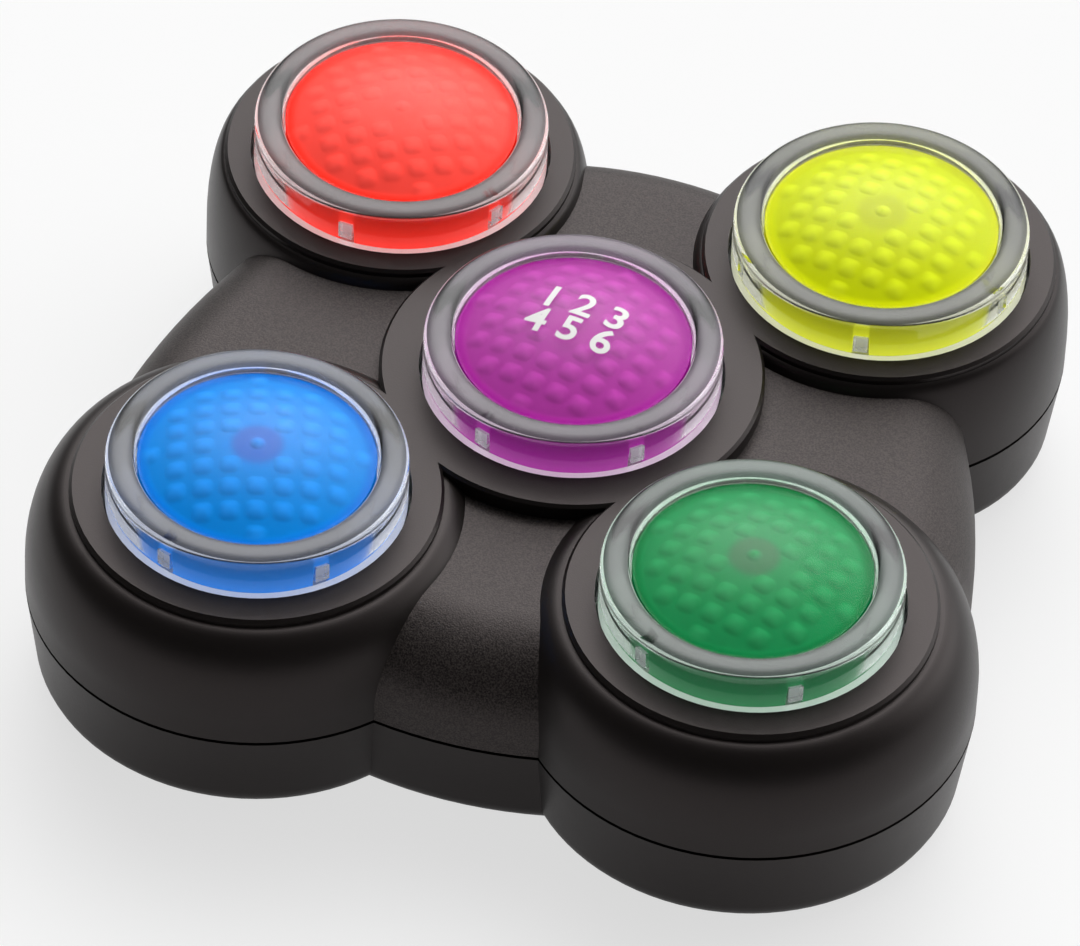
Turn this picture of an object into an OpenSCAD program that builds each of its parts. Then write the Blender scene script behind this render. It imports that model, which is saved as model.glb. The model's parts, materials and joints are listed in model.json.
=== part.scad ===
// Electronic memory game: a low four-lobed black case with a light-up push button on each
// lobe and a fifth one in the middle.
// Millimetres. The origin is on the table under the middle of the outline, +Z is up and
// the player sits on the -Y side.

/* [Outline] */
// Distance between neighbouring corner buttons
button_pitch = 64; // [62:0.5:72]
// Diameter of the two front lobes at their wall
front_lobe_d = 58; // [56:0.5:62]
// Diameter of the two rear lobes at their wall
rear_lobe_d = 50; // [49:0.5:58]
// Diameter of the flat collar on a front lobe
front_collar_d = 47; // [45:0.5:50]
// Diameter of the flat collar on a rear lobe
rear_collar_d = 45.6; // [45:0.2:47]
// Diameter of the flat boss round the middle button
boss_d = 49; // [46:0.5:52]
// Distance from the middle button to the front wall
front_wall = 52.6; // [50:0.2:56]
// Plan radius of the front wall
front_wall_r = 56; // [50:1:80]
// Distance from the middle button to the rear wall
rear_wall = 45; // [43:0.2:50]
// Plan radius of the rear wall
rear_wall_r = 50; // [45:1:80]
// Distance from the middle button to each side wall
side_wall = 53.5; // [52:0.5:56]
// Plan radius of each side wall
side_wall_r = 100; // [80:1:140]
// Angle at which the side walls close towards the rear, in degrees
side_taper = 15.5; // [8:0.5:18]

/* [Heights] */
// Height of the rubber feet under the case
foot_h = 2; // [1:0.1:4]
// Height of the lower case
lower_h = 13.2; // [13:0.1:18]
// Height of the upper case from the parting line to the collars
upper_h = 16.2; // [15.5:0.1:22]
// Step from the collars down to the panels between the lobes
panel_drop = 2.4; // [1:0.1:3]
// Upright edge of a collar above the rounded shoulder
collar_step = 1; // [0.5:0.1:1.5]
// Height of the rounded shoulders of the lobes
lobe_shoulder_h = 11.4; // [8:0.1:12]
// Height of the rounded shoulders of the panels
panel_shoulder_h = 10.6; // [8:0.1:11]
// Width of the rounding along the front wall
front_round = 12; // [6:0.5:14]
// Width of the rounding along the side walls
side_round = 9; // [5:0.5:11]
// Width of the rounding along the rear wall
rear_round = 8; // [5:0.5:10]

/* [Case] */
// Thickness of the walls and panels
wall = 2; // [1.6:0.1:2.4]
// Thickness of the collars where the buttons stop against them
deck_t = 2.4; // [2:0.1:3]
// Thickness of the floor
floor_t = 2.4; // [2.2:0.1:3]
// Width of the groove along the parting line
part_gap = 0.5; // [0.3:0.1:0.8]
// Height of the lip that centres the two halves
lip_h = 1.6; // [1:0.1:2.4]
// Thickness of that lip
lip_t = 0.9; // [0.7:0.1:1]
// Clearance between the lip and the rebate it enters
lip_gap = 0.15; // [0.1:0.05:0.3]
// Inward lean of the lower walls
lower_draft = 1.2; // [0.5:0.1:2]
// Radius of the bottom edge of the lobes
lobe_bottom_r = 3; // [2.5:0.1:4]
// Radius of the bottom edge of the walls between them
wall_bottom_r = 2.6; // [2.5:0.1:4]
// Small bevel on the collar edges
edge = 0.4; // [0.2:0.1:0.5]

/* [Buttons] */
// Diameter of the coloured lens that shows inside the ring
lens_d = 30; // [28:0.2:31]
// Height of the lens dome above its own edge
lens_crown = 3.4; // [2:0.1:4.5]
// Height of the lens edge above the collar
lens_rise = 5.1; // [4.5:0.1:7]
// Thickness of the lens
lens_t = 1.6; // [1.2:0.1:2]
// Thickness of the lens wall
skirt_t = 1.35; // [1:0.05:1.6]
// Height of the foot that keeps the lens in its ring
lens_foot = 1.4; // [1:0.1:1.6]
// Outer diameter of the clear ring
ring_d = 38; // [37:0.2:39]
// Height of the ring's rim above the lens edge
rim_proud = 0.8; // [0.2:0.1:1.4]
// Thickness of the ring wall round the foot of the lens
ring_t = 1.8; // [1.4:0.1:2]
// Width of the ring's retaining flange
flange_w = 1.4; // [1:0.1:1.6]
// Thickness of that flange
flange_t = 1.4; // [1:0.1:2]
// Number of keys that stop the lens turning in the ring
key_count = 5; // [3:1:8]
// Width of a key
key_w = 1.6; // [1:0.1:2.4]
// How far a button travels when it is pressed
travel = 2.5; // [1.5:0.1:2.8]
// Clearance between a ring and its hole
hole_gap = 0.45; // [0.3:0.05:0.6]
// Clearance between the flange and its guide sleeve
sleeve_gap = 0.4; // [0.3:0.05:0.5]
// Clearance between the flange and its stop
stop_gap = 0.3; // [0.2:0.05:0.4]
// Clearance between pieces fixed together in a button
seat_gap = 0.2; // [0.1:0.05:0.3]
// Thickness of the guide sleeves
sleeve_t = 1.4; // [1:0.1:1.5]
// Inner diameter of the tube on a plunger
tube_d = 13; // [11:0.2:14]
// Thickness of a plunger
plunger_t = 1.5; // [1.2:0.1:2]

/* [Board] */
// Height of the board's top face above the parting line
board_rise = 3.8; // [3.6:0.1:5]
// Thickness of the board
board_t = 1.6; // [1:0.1:2]
// Half width of the square middle of the board
board_half = 33; // [32.5:0.1:34]
// Diameter of the round ends of the board
board_end_d = 34; // [30:0.5:38]
// Distance of each board screw from the edge of the board
board_fix_edge = 3; // [2.5:0.1:3.5]
// Clearance between the guide sleeves and the board
board_gap = 0.4; // [0.3:0.1:1]
// Diameter of a light-emitting diode
led_d = 5; // [3:0.5:5]
// Height of a light-emitting diode above the board
led_h = 8.6; // [5:0.1:9]
// Distance between the legs of a diode
led_legs = 2.54; // [2.54:0.1:3]
// Height of a rubber dome that stays when the button is pressed
rubber_core = 2.8; // [2.6:0.1:3.5]
// Diameter of a rubber dome at its foot
rubber_d = 21.6; // [20:0.2:26]

/* [Battery box] */
// Diameter of a cell
cell_d = 10.5; // [10:0.1:11]
// Length of a cell with its positive nub
cell_l = 44.5; // [43:0.1:46]
// Gap between neighbouring cells
cell_gap = 0.6; // [0.3:0.1:1]
// Clearance round the cells
cell_room = 0.4; // [0.3:0.1:0.6]
// Length of a cell spring with the cell in place
spring_l = 4; // [3:0.1:5]
// Diameter of the spring wire
spring_wire = 0.6; // [0.4:0.1:0.7]
// Thickness of the contact plates
contact_t = 0.4; // [0.3:0.1:0.6]
// Thickness of the battery box walls
box_wall = 1.4; // [1.2:0.1:1.8]
// Distance of the battery box behind the middle button
box_y = 3; // [2.5:0.1:3.5]
// Thickness of the battery door
door_t = 1.4; // [1.2:0.1:1.6]
// How far the door sits inside the case floor
door_sunk = 0.2; // [0.1:0.1:0.4]
// Clearance round the door
door_gap = 0.4; // [0.3:0.05:0.6]
// Width of the ledge that the door rests on
door_ledge = 1.6; // [1.2:0.1:2]

/* [Speaker, switch and feet] */
// Diameter of the loudspeaker
speaker_d = 22; // [20:0.2:23]
// Distance of the loudspeaker in front of the middle button
speaker_y = 28.2; // [28:0.1:28.6]
// Width of a slot in the loudspeaker grille
slot_w = 1.6; // [1:0.1:2]
// Distance of the power switch behind the middle button
switch_y = 27.4; // [27:0.1:28]
// Travel of the power switch
switch_travel = 4; // [2:0.5:5]
// Diameter of a foot
foot_d = 14; // [10:0.5:15]
// How far a foot is let into the floor
foot_seat = 1; // [0.6:0.1:1.2]
// Distance of the front feet in front of their buttons
front_foot_y = 17; // [10:0.5:17.5]
// Distance of the rear feet behind their buttons
rear_foot_y = 13; // [8:0.5:13.5]

/* [Screws] */
// Shank diameter of every screw
screw_d = 2.6; // [2:0.1:2.8]
// Head diameter of every screw
head_d = 4.8; // [4.4:0.1:5]
// Head height of every screw
head_h = 1.5; // [1:0.1:1.8]
// Clearance round shanks and heads
screw_gap = 0.1; // [0.05:0.05:0.2]
// Clearance round a screw head in its well
well_gap = 0.3; // [0.2:0.05:0.5]
// Wall round a screw hole
boss_wall = 2.1; // [1.8:0.1:2.3]
// Wall round a screw well, and under its head in the door
cup_t = 1; // [0.8:0.1:1.2]
// Depth of the wells that hold the case screw heads
well_h = 5; // [3:0.1:6]
// Distance of the front case screw from the middle button
front_fix = 44.5; // [44:0.1:45]
// Distance of each side case screw from the middle button
side_fix = 41; // [40.5:0.1:43]

/* [Hidden] */
$fn = 96;
eps = 0.01;
lobe_steps = 14;
panel_steps = 11;
lobe_bottom_steps = 6;
wall_bottom_steps = 5;
dome_steps = 16;

// Name, side, row and colour of every button, and the turn of its keys in degrees
BUTTONS = [
    ["red", -1, 1, [0.93, 0.16, 0.12], 45],
    ["yellow", 1, 1, [0.82, 0.87, 0.08], 60],
    ["blue", -1, -1, [0.05, 0.42, 0.9], 28],
    ["green", 1, -1, [0.06, 0.5, 0.24], 16],
    ["purple", 0, 0, [0.55, 0.08, 0.55], 27],
];
SINGLE_NODES = [
    "upper_case", "lower_case", "battery_door", "door_screws", "case_screws", "rubber_feet",
    "circuit_board", "board_screws", "contact_rings", "controller_chip", "board_capacitor",
    "board_resistors", "speaker_frame", "speaker_magnet", "speaker_cone", "cell_front",
    "cell_middle", "cell_rear", "cell_springs", "cell_contacts", "switch_body",
    "switch_slider", "battery_leads", "speaker_leads", "switch_leads",
];
BUTTON_NODES = ["ring", "lens", "plunger", "rubber_dome", "led"];

black = [0.07, 0.065, 0.07];
dark = [0.11, 0.1, 0.11];
clear = [0.85, 0.87, 0.88, 0.45];
white = [0.92, 0.92, 0.9];
rubber = [0.75, 0.75, 0.73];
steel = [0.72, 0.72, 0.74];
board_green = [0.08, 0.35, 0.18];
gold = [0.8, 0.62, 0.25];

// The grid of buttons sits a little behind the origin, because the front lobes are larger
half_pitch = button_pitch / 2;
grid = [0, (front_lobe_d - rear_lobe_d) / 4];
function place(b) = grid + half_pitch * [b[1], b[2]];
CORNERS = [for (b = BUTTONS) if (b[1] != 0) b];
function lobe_r(b) = (b[2] < 0 ? front_lobe_d : rear_lobe_d) / 2;
function collar_r(b) = (b[2] < 0 ? front_collar_d : rear_collar_d) / 2;

z_floor = foot_h + floor_t;
z_part = foot_h + lower_h;
z_deck = z_part + upper_h;
z_panel = z_deck - panel_drop;
z_step = z_deck - collar_step;
z_lobe = z_step - lobe_shoulder_h;
z_wall = z_panel - panel_shoulder_h;
z_stop = z_deck - deck_t;
z_board = z_part + board_rise;
z_under = z_board - board_t;

// Heights inside a button at rest
z_lens = z_deck + lens_rise;
z_rim = z_lens + rim_proud;
z_cap = z_stop - stop_gap - flange_t;
ring_r = ring_d / 2;
bore_r = ring_r - ring_t;
lens_r = lens_d / 2;
lip_r = lens_r + seat_gap;
bead = (ring_r - lip_r) / 2;
skirt_r = bore_r - seat_gap;
lens_in = lens_r - skirt_t;
z_skirt = z_cap + plunger_t;
z_seat = z_skirt + lens_foot;
z_key = z_lens - lens_t - seat_gap;
flange_r = ring_r + flange_w;
sleeve_r = flange_r + sleeve_gap;
sleeve_out = sleeve_r + sleeve_t;
hole_r = ring_r + hole_gap;
tube_r = tube_d / 2;
rubber_h = rubber_core + travel;
// Thickness of a rubber dome's web, and of the part that presses on the board
web_t = 0.9;
pill_t = 2.4;
z_tube = z_board + rubber_h + stop_gap;

// Angles by which the walls end short of the middles of the lobes
end_inset = 6;
side_inset = 3;
// The four stretches of wall between the lobes: centre, wall radius, rounding, the lobes at
// the two ends, and that angle
function corner(x, y) = grid + half_pitch * [x, y];
side_c = [side_wall - side_wall_r * cos(side_taper), grid[1] - side_wall_r * sin(side_taper)];
WALLS = [
    [[0, grid[1] - front_wall + front_wall_r], front_wall_r, front_round, corner(-1, -1), corner(1, -1), end_inset],
    [side_c, side_wall_r, side_round, corner(1, -1), corner(1, 1), side_inset],
    [[0, grid[1] + rear_wall - rear_wall_r], rear_wall_r, rear_round, corner(1, 1), corner(-1, 1), end_inset],
    [[-side_c[0], side_c[1]], side_wall_r, side_round, corner(-1, 1), corner(-1, -1), side_inset],
];
function bearing(from, to) = atan2(to[1] - from[1], to[0] - from[0]);
function turn(a) = a < 0 ? a + 360 : a;

// How far the panels reach in under the boss
panel_tuck = 6.5;
// Radius of the plain round middle of the lower case and of the inside, which reaches into every
// lobe and every wall
core_r = boss_d / 2 + 3 * wall;
// How far the lobes, the walls and the boss run past the heights that they are trimmed to. They
// differ, so that no two ends share a plane before the trim.
LOBE_OVER = 0.4;
WALL_OVER = 0.6;
BOSS_OVER = 0.8;
// Half size of the block that trims the forms
trim = button_pitch + front_lobe_d;

// Battery box
cells = [-1, 0, 1];
cell_step = cell_d + cell_gap;
box_at = grid + [0, box_y];
box_half_x = (cell_l + spring_l + 2 * contact_t + cell_room) / 2;
box_half_y = (3 * cell_d + 2 * cell_gap) / 2 + cell_room;
z_door = foot_h + door_sunk;
z_cell = z_door + door_t + cell_room + cell_d / 2;
z_roof = z_cell + cell_d / 2 + cell_room;
nub_d = 3.8;
nub_l = 1.2;
tab_w = 3;
tab_l = 2.6;
z_tab = z_cell + cell_d / 4;
hole_d = screw_d + 2 * screw_gap;
well_d = head_d + 2 * well_gap;
cup_r = well_d / 2 + cup_t;
fix_r = screw_d / 2 + boss_wall;
door_half_y = box_half_y + door_ledge;
door_fix = box_half_x + box_wall + door_gap + cup_r;
door_half_x = door_fix + cup_r + cup_t;
door_corner = 3;
z_head = z_door + door_sunk;
z_cup = z_head + head_h + cup_t;
door_post_r = cup_r + door_gap + cup_t;
door_post_h = 6;

// Screw places. The rear case screw stands just behind the board.
rear_fix = board_half + board_gap + fix_r;
CASE_FIXES = [
    grid + [0, -front_fix], grid + [0, rear_fix], grid + [-side_fix, 0], grid + [side_fix, 0],
];
// Height to which a case screw boss may rise under the rounded shoulder outside it
function boss_top(reach, wall_at, round_w) =
    let (x = max(0, reach + fix_r - wall_at + round_w) / round_w)
    z_wall + (z_panel - z_wall) * sqrt(1 - x * x) - wall / 2;
CASE_BOSS_TOPS = [
    boss_top(front_fix, front_wall, front_round), boss_top(rear_fix, rear_wall, rear_round),
    boss_top(side_fix, side_wall, side_round), boss_top(side_fix, side_wall, side_round),
];
BOARD_FIXES = [for (a = [0:90:270]) grid + (board_half - board_fix_edge) * [cos(a), sin(a)]];
DOOR_FIXES = [for (s = [-1, 1]) box_at + [s * door_fix, 0]];
post_r = well_d / 2 + cup_t;
z_well = foot_h + well_h;
// How far the case screws reach above the level of the board
case_bite = 3;
case_screw_l = z_board - z_well + case_bite;
board_screw_l = 7;
door_screw_l = 6;
// How far a blind hole runs on past its screw
hole_past = 1;
// Width of the cross in a screw head
cross_w = 0.7;

// Parts on the board
pad_t = 0.2;
parts_inset = 8;
chip_at = grid + [board_half / 2, parts_inset - board_half];
chip_r = 5.5;
chip_h = 1.9;
chip_steps = 6;
capacitor_at = grid + [-board_half / 2, parts_inset - board_half];
capacitor_d = 5;
capacitor_h = 6;
resistors = 4;
resistor = [1.2, 2];
resistor_h = 0.6;
led_flange = 0.4;
led_flange_h = 1;

// Loudspeaker and switch
speaker_at = grid - [0, speaker_y];
speaker_r = speaker_d / 2;
speaker_h = 4.6;
magnet_h = 3;
magnet_r = 6;
// Thickness of the basket, width of its rim, and the thickness and coil radius of the cone
basket_t = 0.8;
basket_rim = 1.6;
cone_t = 0.4;
coil_r = 3.4;
switch_at = grid + [0, switch_y];
switch_size = [13, 6, 5];
knob = [3.6, 2.8];
knob_gap = 0.3;
slider_h = 1.8;
slider_ear = 1.2;
rib_w = 0.4;
FEET = [for (b = CORNERS) place(b) + [0, b[2] * (b[2] < 0 ? front_foot_y : rear_foot_y)]];
lead_r = 0.6;
leg_r = 0.3;
leg_out = 0.6;

// Quarter of an ellipse from its outer end up to its top, as [radius, height] points
function shoulder(r, z, w, h, steps) = [
    for (k = [0:steps])
        [r + w * cos(90 * k / steps), z + h * sin(90 * k / steps)]
];

// Upright edge of a collar and the bevel above it, which runs on past z_top by over
function collar_edge(r, z_top, over) =
    [[r, z_top - edge], [r - edge - over, z_top + over], [0, z_top + over]];

// Outline of a lobe: upright wall, rounded shoulder, then the flat collar
function lobe_points(r, collar, z_low, z_high, z_top) = concat(
    [[0, z_low], [r, z_low]],
    shoulder(collar, z_lobe, r - collar, z_high - z_lobe, lobe_steps),
    collar_edge(collar, z_top, LOBE_OVER)
);

// Outline of the wall between two lobes, from its inner end to the wall
function panel_points(r_in, r, round_w, z_low, z_top) = concat(
    [[r_in, z_low], [r, z_low]],
    shoulder(r - round_w, z_wall, round_w, z_top - z_wall, panel_steps),
    [[r_in, z_top]]
);

// Outline of a lower wall: rounded bottom edge, then a wall that leans out to r. Both ends run
// on past z_low and z_top by over.
function base_points(r_in, r, corner_r, z_low, z_top, steps, over) =
    let (
        arc = [
            for (k = [0:steps])
                let (a = 90 * k / steps)
                [r - lower_draft - corner_r * (1 - sin(a)), z_low + corner_r * (1 - cos(a))]
        ],
        first = arc[1] - arc[0],
        last = [r, z_top] - arc[steps]
    )
    concat(
        [[r_in, z_low - over], arc[0] - first * over / first[1]],
        [for (k = [1:steps]) arc[k]],
        [[r, z_top] + last * over / last[1], [r_in, z_top + over]]
    );

// Turns a wall outline about the centre of one of the WALLS
module wall_sector(w) {
    start = bearing(w[0], w[3]);
    sweep = turn(bearing(w[0], w[4]) - start);
    translate(w[0])
        rotate(start + w[5])
            rotate_extrude(angle = sweep - 2 * w[5])
                children();
}
function sector_r(w) = norm(w[0] - grid) + boss_d / 2 - panel_tuck;

// Trims what it is given to the heights between z_low and z_top
module between(z_low, z_top) {
    intersection() {
        union()
            children();
        translate([-trim, -trim, z_low])
            cube([2 * trim, 2 * trim, z_top - z_low]);
    }
}

// The lobes and panels of the upper case, or their inside when they are drawn in by side and top,
// joined with the middle that is given to it
module upper_form(side, top, z_low) {
    between(z_low, z_deck - top) {
        for (b = CORNERS)
            translate(place(b))
                rotate_extrude()
                    polygon(lobe_points(lobe_r(b) - side, collar_r(b) - side, z_low - LOBE_OVER,
                        z_step - side, z_deck - top));
        for (w = WALLS)
            wall_sector(w)
                polygon(panel_points(sector_r(w), w[1] - side, w[2], z_low - WALL_OVER, z_panel - side));
        children();
    }
}

// Flat boss round the middle button
module middle_boss() {
    translate(grid)
        rotate_extrude()
            polygon(concat([[0, z_part - BOSS_OVER], [boss_d / 2, z_part - BOSS_OVER]],
                collar_edge(boss_d / 2, z_deck, BOSS_OVER)));
}

// The outer form of the lower case, or its inside when it is drawn in
module lower_form(side, z_low, z_top) {
    between(z_low, z_top) {
        for (b = CORNERS)
            translate(place(b))
                rotate_extrude()
                    polygon(base_points(0, lobe_r(b) - side, lobe_bottom_r - side, z_low, z_top,
                        lobe_bottom_steps, LOBE_OVER));
        for (w = WALLS)
            wall_sector(w)
                polygon(base_points(sector_r(w), w[1] - side, wall_bottom_r - side, z_low, z_top,
                    wall_bottom_steps, WALL_OVER));
        pegs([grid], core_r - side, z_low - BOSS_OVER, z_top + BOSS_OVER);
    }
}

// Upright prism of the case outline, drawn in by side
module outline_prism(side, z_low, z_top) {
    between(z_low, z_top) {
        for (b = CORNERS)
            pegs([place(b)], lobe_r(b) - side, z_low - LOBE_OVER, z_top + LOBE_OVER);
        for (w = WALLS)
            wall_sector(w)
                translate([sector_r(w), z_low - WALL_OVER])
                    square([w[1] - side - sector_r(w), z_top - z_low + 2 * WALL_OVER]);
        pegs([grid], core_r - side, z_low - BOSS_OVER, z_top + BOSS_OVER);
    }
}

// Upright cylinders at a list of places
module pegs(at, r, z_low, z_top) {
    for (p = at)
        translate([p[0], p[1], z_low])
            cylinder(r = r, h = z_top - z_low);
}

// Plate with round corners, centred on a place
module round_plate(at, half_x, half_y, r, z_low, z_top) {
    translate([at[0], at[1], z_low])
        linear_extrude(z_top - z_low)
            union() {
                square([2 * half_x, 2 * half_y - 2 * r], center = true);
                square([2 * half_x - 2 * r, 2 * half_y], center = true);
                for (x = [-1, 1], y = [-1, 1])
                    translate([x * (half_x - r), y * (half_y - r)])
                        circle(r);
            }
}

module block(at, size, z_low, z_top) {
    translate([at[0] - size[0] / 2, at[1] - size[1] / 2, z_low])
        cube([size[0], size[1], z_top - z_low]);
}

// Tapping screw with its head below its shank
module screw(z_head, shank_l) {
    translate([0, 0, z_head])
        difference() {
            union() {
                cylinder(d = head_d, h = head_h);
                cylinder(d = screw_d, h = head_h + shank_l);
            }
            for (a = [0, 90])
                rotate(a)
                    translate([-head_d / 3, -cross_w / 2, -eps])
                        cube([2 * head_d / 3, cross_w, head_h / 2]);
        }
}

module upper_case() {
    color(black)
        difference() {
            union() {
                difference() {
                    upper_form(0, 0, z_part + part_gap / 2)
                        middle_boss();
                    upper_form(wall, deck_t, z_part - wall)
                        pegs([grid], core_r, z_part - wall - BOSS_OVER, z_board + board_gap + edge);
                    outline_prism(wall - lip_t - lip_gap, z_part - wall, z_part + lip_h + lip_gap);
                }
                pegs([for (b = BUTTONS) place(b)], sleeve_out, z_board + board_gap, z_stop + edge);
                for (k = [0:len(CASE_FIXES) - 1])
                    pegs([CASE_FIXES[k]], fix_r, z_part, CASE_BOSS_TOPS[k]);
                pegs(BOARD_FIXES, fix_r, z_board, z_panel - wall + edge);
            }
            pegs([for (b = BUTTONS) place(b)], sleeve_r, z_part, z_stop);
            pegs([for (b = BUTTONS) place(b)], hole_r, z_part, z_deck + eps);
            pegs(CASE_FIXES, hole_d / 2, z_part - eps, z_well + case_screw_l + head_h + hole_past);
            pegs(BOARD_FIXES, hole_d / 2, z_board - eps, z_under + board_screw_l + hole_past);
        }
}

// Slots of the loudspeaker grille, each as long as the chord of the cone there
module grille_slots() {
    for (k = [-3:3]) {
        y = k * 2 * slot_w;
        reach = speaker_r - 2 * cup_t;
        if (abs(y) < reach - slot_w)
            block(speaker_at + [0, y], [2 * sqrt(reach * reach - y * y), slot_w],
                foot_h - eps, z_floor + eps);
    }
}

// Walls and roof of the battery box with slots for the two solder tabs
module battery_box() {
    difference() {
        block(box_at, 2 * [box_half_x + box_wall, box_half_y + box_wall], foot_h + edge,
            z_roof + box_wall);
        block(box_at, 2 * [box_half_x, box_half_y], foot_h, z_roof);
        for (s = [-1, 1])
            block(box_at + s * [box_half_x + box_wall / 2, cell_step],
                [2 * box_wall, tab_w + 2 * cell_room], z_tab - cell_room,
                z_tab + contact_t + cell_room);
    }
}

module lower_case() {
    z_rim_low = z_part - part_gap / 2;
    color(black)
        difference() {
            union() {
                difference() {
                    lower_form(0, foot_h, z_rim_low);
                    lower_form(wall, z_floor, z_part + wall);
                }
                difference() {
                    outline_prism(wall - lip_t, z_rim_low - lip_h, z_part + lip_h);
                    outline_prism(wall, z_rim_low - 2 * lip_h, z_part + 2 * lip_h);
                }
                battery_box();
                pegs(CASE_FIXES, post_r, foot_h + edge, z_part);
                pegs(DOOR_FIXES, door_post_r, foot_h + edge, z_cup + door_post_h);
                pegs([speaker_at], speaker_r + seat_gap + cup_t, z_floor - edge, z_floor + cup_t * 2);
            }
            pegs([speaker_at], speaker_r + seat_gap, z_floor, z_floor + speaker_h);
            grille_slots();
            block(box_at, 2 * [box_half_x, box_half_y], foot_h - eps, z_roof - cell_room / 2);
            round_plate(box_at, door_half_x + door_gap, door_half_y + door_gap,
                door_corner + door_gap, foot_h - eps, z_door + door_t + seat_gap);
            pegs(DOOR_FIXES, cup_r + door_gap, foot_h, z_cup + seat_gap);
            pegs(DOOR_FIXES, hole_d / 2, foot_h, z_head + head_h + door_screw_l + edge);
            pegs(CASE_FIXES, well_d / 2, foot_h - eps, z_well + head_h);
            pegs(CASE_FIXES, hole_d / 2, foot_h, z_part + eps);
            pegs(FEET, foot_d / 2 + screw_gap, foot_h - eps, foot_h + foot_seat);
            block(switch_at, [knob[0] + switch_travel + 2 * knob_gap, knob[1] + 2 * knob_gap],
                foot_h - eps, z_floor + eps);
        }
}

module battery_door() {
    color(dark)
        difference() {
            union() {
                round_plate(box_at, door_half_x, door_half_y, door_corner, z_door, z_door + door_t);
                pegs(DOOR_FIXES, cup_r, z_door, z_cup);
            }
            pegs(DOOR_FIXES, hole_d / 2, z_door - eps, z_cup + eps);
            pegs(DOOR_FIXES, well_d / 2, z_door - eps, z_head + head_h);
        }
}

module door_screws() {
    color(steel)
        for (p = DOOR_FIXES)
            translate(p)
                screw(z_head, door_screw_l);
}

module case_screws() {
    color(steel)
        for (p = CASE_FIXES)
            translate(p)
                screw(z_well, case_screw_l);
}

module rubber_feet() {
    color(dark)
        for (p = FEET)
            translate(p)
                rotate_extrude()
                    polygon([
                        [0, 0], [foot_d / 2 - 2 * edge, 0], [foot_d / 2 - edge, edge],
                        [foot_d / 2, foot_h], [foot_d / 2, foot_h + foot_seat], [0, foot_h + foot_seat],
                    ]);
}

module circuit_board() {
    color(board_green)
        difference() {
            union() {
                block(grid, 2 * [board_half, board_half], z_under, z_board);
                pegs([for (b = CORNERS) place(b)], board_end_d / 2, z_under, z_board);
            }
            pegs(BOARD_FIXES, hole_d / 2, z_under - eps, z_board + eps);
            for (b = BUTTONS, s = [-1, 1])
                pegs([place(b) + [s * led_legs / 2, 0]], leg_r + screw_gap, z_under - eps, z_board + eps);
        }
}

module board_screws() {
    color(steel)
        for (p = BOARD_FIXES)
            translate(p)
                screw(z_under - head_h, board_screw_l);
}

module contact_rings() {
    color(gold)
        for (b = BUTTONS)
            translate([place(b)[0], place(b)[1], z_board])
                difference() {
                    cylinder(r = tube_r + plunger_t, h = pad_t);
                    translate([0, 0, -eps])
                        cylinder(r = tube_r, h = pad_t + 2 * eps);
                }
}

// Epoxy-covered chip under the board
module controller_chip() {
    color(black)
        translate([chip_at[0], chip_at[1], z_under])
            mirror([0, 0, 1])
                rotate_extrude()
                    polygon(concat([[0, 0]], shoulder(0, 0, chip_r, chip_h, chip_steps)));
}
module board_capacitor() {
    color(black)
        translate([capacitor_at[0], capacitor_at[1], z_under])
            mirror([0, 0, 1])
                cylinder(d = capacitor_d, h = capacitor_h);
}

module board_resistors() {
    color(dark)
        for (k = [0:resistors - 1])
            block(capacitor_at - [capacitor_d + 2 * resistor[0] * (k - 1), capacitor_d], resistor,
                z_under - resistor_h, z_under);
}

module speaker_frame() {
    color(steel)
        translate([speaker_at[0], speaker_at[1], z_floor])
            rotate_extrude()
                polygon([
                    [speaker_r - basket_rim, 0], [speaker_r, 0], [speaker_r, cup_t],
                    [magnet_r + basket_t, speaker_h], [0, speaker_h], [0, speaker_h - basket_t],
                    [magnet_r, speaker_h - basket_t], [speaker_r - basket_rim, basket_t],
                ]);
}

module speaker_magnet() {
    color(dark)
        pegs([speaker_at], magnet_r, z_floor + speaker_h, z_floor + speaker_h + magnet_h);
}

module speaker_cone() {
    reach = speaker_r - basket_rim - cone_t / 2;
    z_neck = speaker_h / 2;
    z_coil = speaker_h - basket_t - cone_t / 2;
    color(black)
        translate([speaker_at[0], speaker_at[1], z_floor])
            rotate_extrude()
                polygon([
                    [reach, cone_t / 2], [reach, 3 * cone_t / 2], [coil_r, z_neck + cone_t],
                    [coil_r, z_coil], [coil_r - cone_t, z_coil], [coil_r - cone_t, z_neck],
                    [0, z_neck - cone_t], [0, z_neck - 2 * cone_t], [coil_r - cone_t, z_neck - cone_t],
                ]);
}

// Cell with its positive nub towards +X, or towards -X when it is turned
module cell(k) {
    turned = k == 0;
    x_tip = box_half_x - contact_t - cell_room / 4;
    translate([box_at[0], box_at[1] + k * cell_step, z_cell])
        rotate([0, turned ? -90 : 90, 0])
            translate([0, 0, x_tip - cell_l]) {
                cylinder(d = cell_d, h = cell_l - nub_l);
                cylinder(d = nub_d, h = cell_l);
            }
}
module cell_front() {
    color([0.2, 0.2, 0.22])
        cell(-1);
}
module cell_middle() {
    color([0.2, 0.2, 0.22])
        cell(0);
}
module cell_rear() {
    color([0.2, 0.2, 0.22])
        cell(1);
}

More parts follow.
